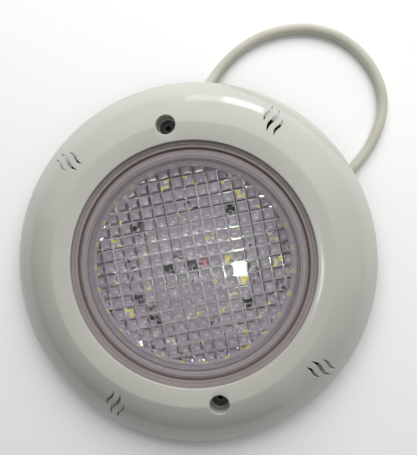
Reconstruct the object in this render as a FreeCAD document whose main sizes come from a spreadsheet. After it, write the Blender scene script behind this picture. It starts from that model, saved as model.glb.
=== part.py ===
# Surface-mounted LED pool light, lying face up on its wall bracket.
# Millimetres. +Z is the way the lamp shines. The origin is on the light's axis at the bracket's back face.
# The face ring's two screw wells lie on the Y axis.
import FreeCAD, Part
import math
import os
import Sketcher
from FreeCAD import Placement, Rotation, Vector

doc = FreeCAD.newDocument("pool_light")
sheet = doc.addObject("Spreadsheet::Sheet", "Sizes")

# Driving dimensions: name, value, what it is
driving = [
    ("ringRadius", 145, "face ring, outer radius"),
    ("openingRadius", 94, "face ring, radius of the window opening"),
    ("landWidth", 14, "flat land round the opening"),
    ("domeRadius", 66, "arc of the ring's domed flank"),
    ("domeDrop", 25.5, "fall of the flank from land to shoulder"),
    ("skirtHeight", 5, "skirt below the shoulder"),
    ("skirtDraft", 1, "outward draft of the skirt"),
    ("ringWall", 3, "wall of the face ring"),
    ("lipRound", 1, "round on the opening's upper edge"),
    ("wellRadius", 7.5, "screw well bore"),
    ("wellWall", 2, "wall round a screw well"),
    ("wellLedge", 2.7, "thickness of the ledge at a well's foot"),
    ("wellHoleRadius", 6.4, "hole through the ledge"),
    ("ribThickness", 2.4, "stiffening rib in the ring"),
    ("slotCircleRadius", 125.6, "circle of the vent slots"),
    ("slotLength", 21, "middle vent slot"),
    ("slotWidth", 2.8, "middle vent slot at its widest"),
    ("sideSlotLength", 14.5, "outer vent slots"),
    ("sideSlotWidth", 2.1, "outer vent slots at their widest"),
    ("slotStep", 6, "sideways pitch of the slots"),
    ("slotDrift", 3.2, "outward shift from slot to slot"),
    ("slotSway", 0.058, "swing of the S line as a share of slot length"),
    ("slotGroupAngle", 40, "slot group from the screw line"),
    ("bracketHeight", 18, "wall to the lamp's back"),
    ("bracketPlate", 3, "bracket plate"),
    ("bracketWall", 3, "bracket upright walls"),
    ("bracketFlange", 14.5, "plate outside the locating wall"),
    ("supportInset", 10, "support wall inside the housing's wall"),
    ("pocketInset", 3, "plate inside the support wall"),
    ("locatingHeight", 7, "locating wall above the lamp's back"),
    ("locatingGap", 1.5, "gap between housing and locating wall"),
    ("bossRadius", 9, "bracket screw boss"),
    ("bossRise", 6, "screw boss above the lamp's back"),
    ("insertRadius", 3.6, "threaded insert, outside"),
    ("insertBore", 2.1, "threaded insert, tapping bore for M5"),
    ("insertLength", 10, "threaded insert"),
    ("wallHoleRadius", 2.6, "bracket fixing hole"),
    ("wallHoleOffset", 6.5, "fixing hole outside the locating wall"),
    ("gateHalfWidth", 24, "half the cord gap through the bracket"),
    ("gateAngle", 3, "direction of the cord gap"),
    ("fitGap", 0.3, "clearance between bodies that come apart"),
    ("rimCover", 3.5, "lamp rim hidden under the ring"),
    ("rimShow", 5, "lamp rim seen in the opening"),
    ("lampDepth", 22.7, "lamp, back to rim"),
    ("rimThickness", 6.5, "lamp rim"),
    ("rimStep", 0.8, "step down on the rim's inner side"),
    ("rimStepWidth", 2.6, "width of that step"),
    ("housingWall", 3, "housing side wall"),
    ("housingFloor", 2.6, "housing back"),
    ("lensThickness", 3, "lens"),
    ("lensRecess", 1.2, "lens face below the rim"),
    ("sealWidth", 3, "sealant groove"),
    ("sealDrop", 1.1, "sealant below the lens face"),
    ("prismRadius", 74.7, "prism field of the lens"),
    ("prismDepth", 2.2, "prism field below the lens"),
    ("lensSkirt", 3.5, "lens skirt below the plate"),
    ("boardInset", 6, "board edge inside the lens edge"),
    ("boardGap", 1, "board edge to housing"),
    ("boardThickness", 1.6, "circuit board"),
    ("boardRise", 7.6, "board underside above the lamp's back"),
    ("spreaderThickness", 1.2, "aluminium heat spreader"),
    ("standoffRadius", 4, "board standoff"),
    ("standoffCircle", 50, "board screws from the axis"),
    ("screwRadius", 1.5, "board screw shank"),
    ("screwHeadRadius", 2.8, "board screw head"),
    ("screwHeadHeight", 2, "board screw head"),
    ("screwLength", 6, "board screw shank"),
    ("leadHoleRadius", 5.5, "hole in the middle of the board"),
    ("ledLength", 3.5, "LED package"),
    ("ledWidth", 2.8, "LED package"),
    ("ledHeight", 0.8, "LED package"),
    ("ledWall", 0.3, "LED package wall"),
    ("ledCup", 0.4, "depth of the LED's phosphor"),
    ("ledEdge", 2.5, "outer LEDs from the board's edge"),
    ("ledRing3", 62.5, "third LED circle"),
    ("ledRing2", 40, "second LED circle"),
    ("ledRing1", 25.8, "first LED circle"),
    ("chipCircle", 50, "driver chips from the axis"),
    ("chipLength", 5, "driver chip"),
    ("chipWidth", 4, "driver chip"),
    ("chipHeight", 1.5, "driver chip"),
    ("glandAngle", 76.5, "direction of the cord gland"),
    ("glandHeight", 1, "gland axis above the lamp's back"),
    ("glandBossRadius", 10, "housing boss of the gland"),
    ("glandBossOut", 9, "boss beyond the housing wall"),
    ("glandTapDepth", 7, "tapped hole in the boss"),
    ("glandThread", 7.4, "gland thread radius"),
    ("glandHexRadius", 10.2, "gland hexagon, corner"),
    ("glandHexLength", 5, "gland hexagon"),
    ("glandWasher", 1.5, "gland washer"),
    ("glandNutRadius", 9.8, "gland nut, corner"),
    ("glandNutLength", 14, "gland nut"),
    ("glandNutWall", 1.8, "gland nut wall"),
    ("glandNutCap", 2, "gland nut end"),
    ("cordRadius", 4, "supply cord"),
    ("routeExit", 113.8, "gland end that the cord's route is laid out from"),
    ("coilRadius", 44, "middle of the coiled cord"),
    ("tieWidth", 4, "cable tie"),
    ("tieThickness", 1, "cable tie"),
    ("coreRadius", 1.3, "insulated core"),
    ("coreLength", 14, "bared cores"),
    ("ferruleRadius", 0.9, "ferrule"),
    ("ferruleLength", 8, "ferrule"),
]
for row, (word, value, note) in enumerate(driving, start=1):
    sheet.set("A%d" % row, word)
    sheet.set("B%d" % row, str(value))
    sheet.set("C%d" % row, note)
    sheet.setAlias("B%d" % row, word)
doc.recompute()

# Sizes that follow from the driving ones, written for expressions
follows = {
    "creaseRadius": "openingRadius + landWidth",
    "rimTop": "bracketHeight + lampDepth",
    "lipFoot": "bracketHeight + lampDepth + fitGap",
    "landTop": "bracketHeight + lampDepth + fitGap + ringWall",
    "shoulder": "bracketHeight + lampDepth + fitGap + ringWall - domeDrop",
    "ringFoot": "bracketHeight + lampDepth + fitGap + ringWall - domeDrop - skirtHeight",
    "bossTop": "bracketHeight + bossRise",
    "rimRadius": "openingRadius + rimCover",
    "sealRadius": "openingRadius - rimShow",
    "lensRadius": "openingRadius - rimShow - sealWidth",
    "boardRadius": "openingRadius - rimShow - sealWidth - boardInset",
    "cavityRadius": "openingRadius - rimShow - sealWidth - boardInset + boardGap",
    "housingRadius": "openingRadius - rimShow - sealWidth - boardInset + boardGap + housingWall",
    "lensTop": "bracketHeight + lampDepth - lensRecess",
    "lensFoot": "bracketHeight + lampDepth - lensRecess - lensThickness",
    "boardFoot": "bracketHeight + boardRise",
    "boardTop": "bracketHeight + boardRise + boardThickness",
    "glandLevel": "bracketHeight + glandHeight",
}


def full(text):
    """Spells out the following sizes, then points every name at the sheet."""
    words = []
    word = ""
    for letter in str(text) + " ":
        if letter.isalnum() or letter == "_":
            word += letter
            continue
        if word in follows:
            word = "(" + full(follows[word]) + ")"
        elif word in aliases:
            word = "Sizes." + word
        words.append(word + letter)
        word = ""
    return "".join(words).strip()


aliases = [word for word, value, note in driving]


def size(text):
    """The number that an expression of sizes gives."""
    return float(sheet.evalExpression(full(text)))


def bind(thing, **sizes):
    """Binds properties of an object to expressions; a double underscore stands for a dot."""
    for path, text in sizes.items():
        thing.setExpression(path.replace("__", "."), full(text))
    return thing


def place(thing, x="0", y="0", z="0"):
    return bind(thing, Placement__Base__x=x, Placement__Base__y=y, Placement__Base__z=z)


def add(kind, name):
    return doc.addObject(kind, name)


def cylinder(name, radius, height, x="0", y="0", z="0"):
    return place(bind(add("Part::Cylinder", name), Radius=radius, Height=height), x, y, z)


def box(name, length, width, height, x="0", y="0", z="0"):
    return place(bind(add("Part::Box", name), Length=length, Width=width, Height=height), x, y, z)


def fuse(name, shapes):
    joined = add("Part::MultiFuse", name)
    joined.Shapes = shapes
    return joined


def common(name, first, second):
    shared = add("Part::MultiCommon", name)
    shared.Shapes = [first, second]
    return shared


def cut(name, base, tool):
    rest = add("Part::Cut", name)
    rest.Base = base
    rest.Tool = tool
    return rest


def plainPart(name, shape, spot=None):
    """A Part::Feature for a shape worked out here; its Placement comes after its Shape."""
    thing = add("Part::Feature", name)
    thing.Shape = shape
    if spot:
        thing.Placement = spot
    return thing


def originPlane(body, role):
    for feature in body.Origin.OriginFeatures:
        if feature.Role == role:
            return feature


def arcBetween(start, end, radius, turn):
    """The shorter arc from start to end; turn is +1 anticlockwise, -1 clockwise."""
    chord = end - start
    half = chord.Length / 2
    side = Vector(-chord.y, chord.x, 0).normalize() * turn
    centre = start + chord * 0.5 + side * math.sqrt(radius * radius - half * half)
    circle = Part.Circle(centre, Vector(0, 0, 1), radius)
    fromAngle = math.atan2(start.y - centre.y, start.x - centre.x)
    toAngle = math.atan2(end.y - centre.y, end.x - centre.x)
    if turn < 0:
        fromAngle, toAngle = toAngle, fromAngle
    return Part.ArcOfCircle(circle, fromAngle, toAngle)


def outline(body, corners, role="XZ_Plane"):
    """A closed sketch. A corner is (across, up), or (across, up, arc radius, turn) for an arc to it."""
    sketch = body.newObject("Sketcher::SketchObject", body.Name + "_outline")
    sketch.AttachmentSupport = [(originPlane(body, role), "")]
    sketch.MapMode = "FlatFace"
    points = [Vector(size(corner[0]), size(corner[1]), 0) for corner in corners]
    count = len(corners)
    ends = []
    for index, corner in enumerate(corners):
        start = points[index - 1]
        if len(corner) == 4:
            edge = arcBetween(start, points[index], size(corner[2]), corner[3])
            ends.append((1, 2) if corner[3] > 0 else (2, 1))
        else:
            edge = Part.LineSegment(start, points[index])
            ends.append((1, 2))
        sketch.addGeometry(edge, False)
    for index in range(count):
        after = (index + 1) % count
        sketch.addConstraint(
            Sketcher.Constraint("Coincident", index, ends[index][1], after, ends[after][0])
        )
    for index, corner in enumerate(corners):
        tip = ends[index][1]
        for kind, text, value, axis in (
            ("DistanceX", corner[0], points[index].x, -2),
            ("DistanceY", corner[1], points[index].y, -1),
        ):
            if abs(value) < 1e-9:
                sketch.addConstraint(Sketcher.Constraint("PointOnObject", index, tip, axis))
                continue
            rule = sketch.addConstraint(Sketcher.Constraint(kind, -1, 1, index, tip, value))
            sketch.setExpression("Constraints[%d]" % rule, full(text))
        if len(corner) == 4:
            radius = size(corner[2])
            rule = sketch.addConstraint(Sketcher.Constraint("Radius", index, radius))
            sketch.setExpression("Constraints[%d]" % rule, full(corner[2]))
    return sketch


def turned(name, corners):
    """A body of revolution about the light's axis; corners are (radius, height)."""
    body = add("PartDesign::Body", name)
    sketch = outline(body, corners)
    turn = body.newObject("PartDesign::Revolution", name + "_turn")
    turn.Profile = sketch
    turn.ReferenceAxis = (sketch, ["V_Axis"])
    turn.Angle = 360
    body.Tip = turn
    return body


def ringCorners(inner, outer, foot, top):
    return [(inner, foot), (outer, foot), (outer, top), (inner, top)]


def onCircle(radius, angle):
    """Expressions for a point of a circle about the axis."""
    return "(%s) * cos(%s)" % (radius, angle), "(%s) * sin(%s)" % (radius, angle)


def alongGland(thing, distance):
    """Turns a piece that stands on Z so that it points out along the gland, at a distance from the axis."""
    angle = size("glandAngle")
    reach = size(distance)
    spot = Vector(
        reach * math.cos(math.radians(angle)),
        reach * math.sin(math.radians(angle)),
        size("glandLevel"),
    )
    thing.Placement = Placement(spot, Rotation(Vector(0, 0, 1), angle) * Rotation(Vector(0, 1, 0), 90))
    x, y = onCircle(distance, "glandAngle")
    return place(thing, x, y, "glandLevel")


def glandRod(name, radius, start, length):
    """A round bar on the gland's axis."""
    rod = bind(add("Part::Cylinder", name), Radius=radius, Height=length)
    return alongGland(rod, start)


def glandHex(name, corner, start, length):
    """A six-sided bar on the gland's axis."""
    bar = add("Part::Prism", name)
    bar.Polygon = 6
    bind(bar, Circumradius=corner, Height=length)
    return alongGland(bar, start)


pieces = []


def keep(thing, label):
    """Names a finished sub-part and puts it on the list to write."""
    thing.Label = label
    pieces.append(thing)
    return thing


# directions about the axis, in degrees
quarterTurns = (45, 135, 225, 315)
webTurns = (35, 115, 150, 180, 215, 245, 295, 325)
chipTurns = (-11, 79, 166, 201, 282)
resistorTurns = (14, 34, 96, 118, 146, 184, 218, 338)
diodeTurns = (0.5, 59, 146, 186, 233, 257, 299, 339)


# ---------------------------------------------------------------- wall bracket
def wallBracket():
    """Open ring: plate, support wall, locating wall and two screw bosses, with gaps for the cord."""
    supportOuter = "housingRadius - supportInset"
    supportInner = "housingRadius - supportInset - bracketWall"
    pocket = "housingRadius - supportInset - bracketWall - pocketInset"
    locating = "housingRadius + locatingGap"
    edge = "housingRadius + locatingGap + bracketFlange"
    locatingTop = "bracketHeight + locatingHeight"
    ring = turned("bracketRing", [
        (pocket, "0"),
        (edge, "0"),
        (edge, "bracketPlate"),
        (locating + " + bracketWall", "bracketPlate"),
        (locating + " + bracketWall", locatingTop),
        (locating, locatingTop),
        (locating, "bracketPlate"),
        (supportOuter, "bracketPlate"),
        (supportOuter, "bracketHeight"),
        (supportInner, "bracketHeight"),
        (supportInner, "bracketPlate"),
        (pocket, "bracketPlate"),
    ])
    solids = [ring]
    for index, side in enumerate(("1", "-1")):
        seat = "creaseRadius * " + side
        solids.append(cylinder("bracketBoss%d" % index, "bossRadius", "bossTop", y=seat))
        # ear that carries the boss
        reach = "creaseRadius - (%s)" % locating
        start = locating if side == "1" else "-creaseRadius"
        solids.append(box("bracketEar%d" % index, "2 * bossRadius", reach, "2.5 * bracketPlate", "-bossRadius", start))
    # webs between the two walls, clear of both cord gaps
    for index, turn in enumerate(webTurns):
        web = add("Part::Box", "bracketWeb%d" % index)
        bind(web, Length="supportInset + locatingGap + bracketWall / 2", Width="bracketWall")
        bind(web, Height="bracketHeight - bracketPlate / 2")
        x, y = onCircle(supportOuter + " - bracketWall / 2", str(turn))
        place(web, x, y, "bracketPlate / 2")
        web.Placement = Placement(web.Placement.Base, Rotation(Vector(0, 0, 1), turn))
        solids.append(web)
    whole = fuse("bracketWhole", solids)
    tools = []
    for index, turn in enumerate(quarterTurns):
        x, y = onCircle("housingRadius + locatingGap + bracketWall + wallHoleOffset", str(turn))
        tools.append(cylinder("wallHole%d" % index, "wallHoleRadius", "bracketPlate + 2", x, y, "-1"))
    for index, side in enumerate(("1", "-1")):
        seat = "creaseRadius * " + side
        hole = cylinder("insertHole%d" % index, "insertRadius", "insertLength + 1", y=seat)
        tools.append(place(hole, y=seat, z="bossTop - insertLength"))
    gate = box("cordGate", "ringRadius", "2 * gateHalfWidth", "2 * bracketHeight + bracketWall")
    x, y = onCircle("gateHalfWidth", "gateAngle - 90")
    place(gate, x, y, "-1")
    gate.Placement = Placement(gate.Placement.Base, Rotation(Vector(0, 0, 1), size("gateAngle")))
    tools.append(gate)
    trough = box("glandTrough", "ringRadius", "2 * glandBossRadius + 5", "2 * bracketHeight")
    x, y = onCircle("glandBossRadius + 2.5", "glandAngle - 90")
    place(trough, x, y, "glandLevel - glandBossRadius - 1.5")
    trough.Placement = Placement(trough.Placement.Base, Rotation(Vector(0, 0, 1), size("glandAngle")))
    tools.append(trough)
    keep(cut("bracket", whole, fuse("bracketTools", tools)), "wall_bracket")


def bracketInserts():
    """Two threaded inserts pressed into the bosses."""
    bars = []
    bores = []
    for index, side in enumerate(("1", "-1")):
        seat = "creaseRadius * " + side
        foot = "bossTop - insertLength"
        bars.append(cylinder("insertBar%d" % index, "insertRadius", "insertLength", y=seat, z=foot))
        bores.append(cylinder("insertBore%d" % index, "insertBore", "insertLength + 2", y=seat, z=foot + " - 1"))
    keep(cut("inserts", fuse("insertBars", bars), fuse("insertBores", bores)), "bracket_inserts")


# ---------------------------------------------------------------- face ring
def slotOutline(length, width, lift):
    """A pointed S: a sine centre line with a width that falls to nothing at both ends, cut upwards."""
    sway = size("slotSway") * length
    steps = 8
    sides = []
    for side in (1, -1):
        points = []
        for step in range(steps + 1):
            along = length * (step / steps - 0.5)
            share = 1 - (2 * along / length) ** 2
            across = sway * math.sin(2 * math.pi * (along + length / 2) / length)
            points.append(Vector(along, across + side * width / 2 * share, 0))
        curve = Part.BSplineCurve()
        curve.interpolate(points)
        sides.append(curve.toShape())
    face = Part.Face(Part.Wire(sides))
    return face.extrude(Vector(0, 0, lift))


def ventSlots():
    """Four groups of three S-shaped slots, each slot a step round and a little further out."""
    lift = size("landTop") * 2
    turn = size("slotGroupAngle")
    solids = []
    for middle in (90 - turn, 90 + turn, 270 - turn, 270 + turn):
        for index in (-1, 0, 1):
            length = size("slotLength") if index == 0 else size("sideSlotLength")
            width = size("slotWidth") if index == 0 else size("sideSlotWidth")
            slot = slotOutline(length, width, lift)
            slot.translate(Vector(size("slotCircleRadius") + index * size("slotDrift"), index * size("slotStep"), 0))
            slot.rotate(Vector(0, 0, 0), Vector(0, 0, 1), middle)
            solids.append(slot)
    return plainPart("ventSlots", Part.makeCompound(solids))


def faceRing():
    """Domed shell with a flat land, ribs inside, two screw wells and the vent slots."""
    innerDome = "domeRadius - ringWall"
    # where the inner flank starts and ends, on the radii of the outer arc's ends
    half = "sqrt(((ringRadius - skirtDraft - creaseRadius) ^ 2 + domeDrop ^ 2)) / 2"
    lean = "atan2(domeDrop; ringRadius - skirtDraft - creaseRadius)"
    first = "(90deg - (" + lean + ") + asin((" + half + ") / domeRadius))"
    last = "(90deg - (" + lean + ") - asin((" + half + ") / domeRadius))"
    topX = "creaseRadius - ringWall * cos(" + first + ")"
    topZ = "landTop - ringWall * sin(" + first + ")"
    endX = "ringRadius - skirtDraft - ringWall * cos(" + last + ")"
    endZ = "shoulder - ringWall * sin(" + last + ")"
    shell = turned("ringShell", [
        ("openingRadius", "lipFoot"),
        (topX, "lipFoot"),
        (endX, endZ, innerDome, -1),
        (endX + " + skirtDraft", "ringFoot"),
        ("ringRadius", "ringFoot"),
        ("ringRadius - skirtDraft", "shoulder"),
        ("creaseRadius", "landTop", "domeRadius", 1),
        ("openingRadius + lipRound", "landTop"),
        ("openingRadius", "landTop - lipRound", "lipRound", 1),
    ])
    # space under the shell that trims the ribs, reaching part way into the wall
    bite = "ringWall / 2"
    under = turned("ringUnder", [
        ("creaseRadius + wellWall", "ringFoot + skirtHeight"),
        (endX + " + " + bite, "ringFoot + skirtHeight"),
        ("creaseRadius + wellWall", "lipFoot", "domeRadius - ringWall + " + bite, 1),
    ])
    ribs = []
    for index, turn in enumerate(range(0, 360, 30)):
        if turn in (90, 270):
            continue
        rib = box("ringRib%d" % index, "ringRadius", "ribThickness", "landTop")
        x, y = onCircle("ribThickness / 2", "%d - 90" % turn)
        place(rib, x, y)
        rib.Placement = Placement(rib.Placement.Base, Rotation(Vector(0, 0, 1), turn))
        ribs.append(rib)
    ribbing = common("ringRibs", fuse("ribBlanks", ribs), under)
    solids = [shell, ribbing]
    tools = [ventSlots()]
    for index, side in enumerate(("1", "-1")):
        seat = "creaseRadius * " + side
        foot = "bossTop + fitGap"
        wellTop = "landTop - ringWall * 0.6"
        solids.append(cylinder("well%d" % index, "wellRadius + wellWall", wellTop + " - (" + foot + ")", y=seat, z=foot))
        tools.append(cylinder("wellBore%d" % index, "wellRadius", "landTop", y=seat, z=foot + " + wellLedge"))
        tools.append(cylinder("wellHole%d" % index, "wellHoleRadius", "landTop", y=seat))
    keep(cut("ring", fuse("ringWhole", solids), fuse("ringTools", tools)), "face_ring")


# ---------------------------------------------------------------- lamp unit
def rearHousing():
    """Shallow pan with a broad rim that is stepped for the lens, four standoffs and the gland's boss."""
    rimFoot = "rimTop - rimThickness"
    pan = turned("housingPan", [
        ("0", "bracketHeight"),
        ("housingRadius", "bracketHeight"),
        ("housingRadius", rimFoot),
        ("rimRadius", rimFoot),
        ("rimRadius", "rimTop"),
        ("sealRadius + rimStepWidth", "rimTop"),
        ("sealRadius + rimStepWidth", "rimTop - rimStep"),
        ("sealRadius", "rimTop - rimStep"),
        ("sealRadius", "lensFoot"),
        ("cavityRadius", "lensFoot"),
        ("cavityRadius", "bracketHeight + housingFloor"),
        ("0", "bracketHeight + housingFloor"),
    ])
    solids = [pan]
    tools = []
    standTop = "boardFoot - spreaderThickness"
    for index, turn in enumerate(quarterTurns):
        x, y = onCircle("standoffCircle", str(turn))
        post = cylinder("standoff%d" % index, "standoffRadius", standTop + " - bracketHeight - 1", x, y, "bracketHeight + 1")
        solids.append(post)
        tools.append(cylinder("pilot%d" % index, "screwRadius", "boardTop - bracketHeight", x, y, "boardTop - screwLength - 0.4"))
    boss = glandRod("glandBoss", "glandBossRadius", "cavityRadius", "housingWall + glandBossOut")
    solids.append(boss)
    # a chamber through the wall that the cord is potted into, then the tapped hole of the gland
    tools.append(glandRod("glandTap", "glandThread", "housingRadius + glandBossOut - glandTapDepth", "glandTapDepth + 1"))
    tools.append(glandRod("glandChamber", "cordRadius + 1", "cavityRadius - 2", "housingWall + glandBossOut"))
    keep(cut("housing", fuse("housingWhole", solids), fuse("housingTools", tools)), "rear_housing")


def heatSpreader():
    """Aluminium disc under the board."""
    disc = turned("spreaderDisc", ringCorners("leadHoleRadius", "boardRadius", "boardFoot - spreaderThickness", "boardFoot"))
    tools = boardHoles("spreader")
    keep(cut("spreader", disc, tools), "heat_spreader")


def boardHoles(word):
    holes = []
    for index, turn in enumerate(quarterTurns):
        x, y = onCircle("standoffCircle", str(turn))
        holes.append(cylinder(word + "Hole%d" % index, "screwRadius + 0.2", "boardTop", x, y, "bracketHeight"))
    return fuse(word + "Holes", holes)


def ledBoard():
    """White printed circuit board with a lead hole and four screw holes."""
    disc = turned("boardDisc", ringCorners("leadHoleRadius", "boardRadius", "boardFoot", "boardTop"))
    keep(cut("board", disc, boardHoles("board")), "led_board")


def ledSpots():
    """Radius and angle of each LED: four circles, each with its own phase."""
    circles = (
        (size("boardRadius - ledEdge"), 27, 11.8),
        (size("ledRing3"), 27, 5.2),
        (size("ledRing2"), 18, 11.4),
        (size("ledRing1"), 9, 0.0),
    )
    spots = []
    for radius, count, phase in circles:
        for index in range(count):
            spots.append((radius, phase + 360 * index / count))
    return spots


def radialBlock(length, width, height, radius, angle, foot):
    """A block centred on a circle about the axis, its length across the radius."""
    block = Part.makeBox(width, length, height, Vector(radius - width / 2, -length / 2, foot))
    block.rotate(Vector(0, 0, 0), Vector(0, 0, 1), angle)
    return block


def leds():
    """Surface-mount LEDs: a white package with a shallow cup, and the phosphor that fills the cup."""
    length = size("ledLength")
    width = size("ledWidth")
    height = size("ledHeight")
    wall = size("ledWall")
    cup = size("ledCup")
    foot = size("boardTop")
    packages = []
    fillings = []
    for radius, angle in ledSpots():
        filling = radialBlock(length - 2 * wall, width - 2 * wall, cup, radius, angle, foot + height - cup)
        packages.append(radialBlock(length, width, height, radius, angle, foot).cut(filling))
        fillings.append(filling)
    keep(plainPart("ledPackages", Part.makeCompound(packages)), "led_packages")
    keep(plainPart("ledPhosphors", Part.makeCompound(fillings)), "led_phosphors")


def boardParts():
    """Driver chips, resistors, diodes and the rectifier on the board's face."""
    foot = size("boardTop")
    chips = []
    for angle in chipTurns:
        block = Part.makeBox(size("chipLength"), size("chipWidth"), size("chipHeight"))
        block.translate(Vector(-size("chipLength") / 2, -size("chipWidth") / 2, foot))
        block.rotate(Vector(0, 0, 0), Vector(0, 0, 1), -angle)
        block.translate(Vector(size("chipCircle"), 0, 0))
        block.rotate(Vector(0, 0, 0), Vector(0, 0, 1), angle)
        chips.append(block)
    keep(plainPart("driverChips", Part.makeCompound(chips)), "driver_chips")
    resistorLength, resistorWidth, resistorHeight = 3.2, 1.6, 0.6
    resistors = []
    rowStart, rowPitch = 255.0, 2.9
    for index in range(6):
        angle = rowStart + index * rowPitch
        resistors.append(
            radialBlock(resistorWidth, resistorLength, resistorHeight, size("chipCircle") + 1.5, angle, foot)
        )
    for angle in resistorTurns:
        resistors.append(
            radialBlock(resistorLength, resistorWidth, resistorHeight, size("chipCircle") - 3, angle, foot)
        )
    keep(plainPart("chipResistors", Part.makeCompound(resistors)), "chip_resistors")
    diodeLength, diodeWidth, diodeHeight, diodePitch = 3.6, 1.8, 1.1, 4.2
    diodes = []
    diodeRadius = size("boardRadius - ledEdge") - 6.5
    for angle in diodeTurns:
        for offset in (-0.5, 0.5):
            step = math.degrees(offset * diodePitch / diodeRadius)
            diodes.append(radialBlock(diodeWidth, diodeLength, diodeHeight, diodeRadius, angle + step, foot))
    keep(plainPart("edgeDiodes", Part.makeCompound(diodes)), "edge_diodes")
    bridgeLength, bridgeWidth, bridgeHeight = 8.5, 6.5, 2.5
    bridge = box("bridge", str(bridgeLength), str(bridgeWidth), str(bridgeHeight))
    place(bridge, "-leadHoleRadius - 7 - %s" % bridgeLength, "-%s / 2" % bridgeWidth, "boardTop")
    keep(bridge, "bridge_rectifier")


def boardScrews():
    """Four pan-head screws through the board into the standoffs."""
    bars = []
    for index, turn in enumerate(quarterTurns):
        x, y = onCircle("standoffCircle", str(turn))
        bars.append(cylinder("screwShank%d" % index, "screwRadius", "screwLength + 0.5", x, y, "boardTop - screwLength"))
        head = place(bind(add("Part::Cone", "screwHead%d" % index)), x, y, "boardTop")
        bind(head, Radius1="screwHeadRadius", Radius2="screwHeadRadius * 0.72", Height="screwHeadHeight")
        bars.append(head)
    slots = []
    for index, turn in enumerate(quarterTurns):
        x, y = onCircle("standoffCircle", str(turn))
        for arm, (length, width) in enumerate((("3.2", "0.7"), ("0.7", "3.2"))):
            slot = box("screwSlot%d_%d" % (index, arm), length, width, "screwHeadHeight")
            place(slot, x + " - %s / 2" % length, y + " - %s / 2" % width, "boardTop + screwHeadHeight * 0.5")
            slots.append(slot)
    keep(cut("screws", fuse("screwBars", bars), fuse("screwSlots", slots)), "board_screws")


def lens():
    """Clear lens: plate with a skirt and a thicker prism field on its inner side."""
    groove = "prismRadius + (lensRadius - prismRadius) * 0.68"
    keep(turned("lensDisc", [
        ("0", "lensFoot - prismDepth"),
        ("prismRadius", "lensFoot - prismDepth"),
        ("prismRadius", "lensFoot"),
        ("cavityRadius - fitGap - 1.6", "lensFoot"),
        ("cavityRadius - fitGap - 1.6", "lensFoot - lensSkirt"),
        ("cavityRadius - fitGap", "lensFoot - lensSkirt"),
        ("cavityRadius - fitGap", "lensFoot"),
        ("lensRadius", "lensFoot"),
        ("lensRadius", "lensTop"),
        (groove + " + 0.8", "lensTop"),
        (groove + " + 0.8", "lensTop - 0.8"),
        (groove + " - 0.8", "lensTop - 0.8"),
        (groove + " - 0.8", "lensTop"),
        ("0", "lensTop"),
    ]), "lens")


def lensSealant():
    """Bead of sealant in the groove between lens and rim."""
    keep(turned("sealant", ringCorners("lensRadius", "sealRadius", "lensFoot", "lensTop - sealDrop")), "lens_sealant")


# ---------------------------------------------------------------- cord gland
def gland():
    """Washer, threaded body, rubber seal and dome nut on the gland's axis, and the cord inside them."""
    bossEnd = "housingRadius + glandBossOut"
    washerEnd = bossEnd + " + glandWasher"
    hexEnd = washerEnd + " + glandHexLength"
    nutEnd = hexEnd + " + fitGap + glandNutLength"
    keep(cut(
        "washer",
        glandRod("washerDisc", "glandHexRadius - 0.8", bossEnd, "glandWasher"),
        glandRod("washerBore", "glandThread", bossEnd + " - 1", "glandWasher + 2"),
    ), "gland_washer")
    tapStart = bossEnd + " - glandTapDepth"
    entryStart = "cavityRadius + 2"
    potting = glandRod("pottingPlug", "cordRadius + 1", "cavityRadius", "housingWall + glandBossOut - glandTapDepth")
    keep(cut("potting", potting, glandRod("pottingBore", "cordRadius", entryStart, "glandBossOut")), "cord_potting")
    barrel = "glandTapDepth - fitGap + glandWasher + glandHexLength + 5"
    threadOut = glandRod("glandBarrel", "glandThread", tapStart + " + fitGap", barrel)
    flange = glandHex("glandFlange", "glandHexRadius", washerEnd, "glandHexLength")
    bore = glandRod("glandBore", "cordRadius + 0.2", "housingRadius", "ringRadius")
    keep(cut("glandBodyCut", fuse("glandBodyWhole", [threadOut, flange]), bore), "gland_body")
    sealStart = "housingRadius + glandBossOut + glandWasher + glandHexLength + 5"
    sealLength = "glandNutLength + fitGap - glandNutCap - 5"
    keep(cut(
        "sealBush",
        glandRod("sealRod", "glandThread - 1", sealStart, sealLength),
        glandRod("sealBore", "cordRadius", sealStart + " - 1", sealLength + " + 2"),
    ), "gland_seal")
    nutHex = glandHex("nutHex", "glandNutRadius", hexEnd + " + fitGap", "glandNutLength * 0.55")
    nutDome = bind(add("Part::Cone", "nutDome"), Radius1="glandNutRadius * 0.866", Radius2="glandNutRadius * 0.66")
    bind(nutDome, Height="glandNutLength * 0.45")
    alongGland(nutDome, hexEnd + " + fitGap + glandNutLength * 0.55")
    nutTools = fuse("nutTools", [
        glandRod("nutBore", "glandThread", hexEnd + " + fitGap - 1", "6 - fitGap"),
        glandRod("nutBushBore", "glandThread - 1", hexEnd, "glandNutLength + fitGap - glandNutCap"),
        glandRod("nutMouth", "cordRadius + 0.2", hexEnd, "glandNutLength + 5"),
    ])
    keep(cut("nut", fuse("nutWhole", [nutHex, nutDome]), nutTools), "gland_nut")
    keep(glandRod("cordEntry", "cordRadius", entryStart, nutEnd + " - (" + entryStart + ")"), "cord_entry")


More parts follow.
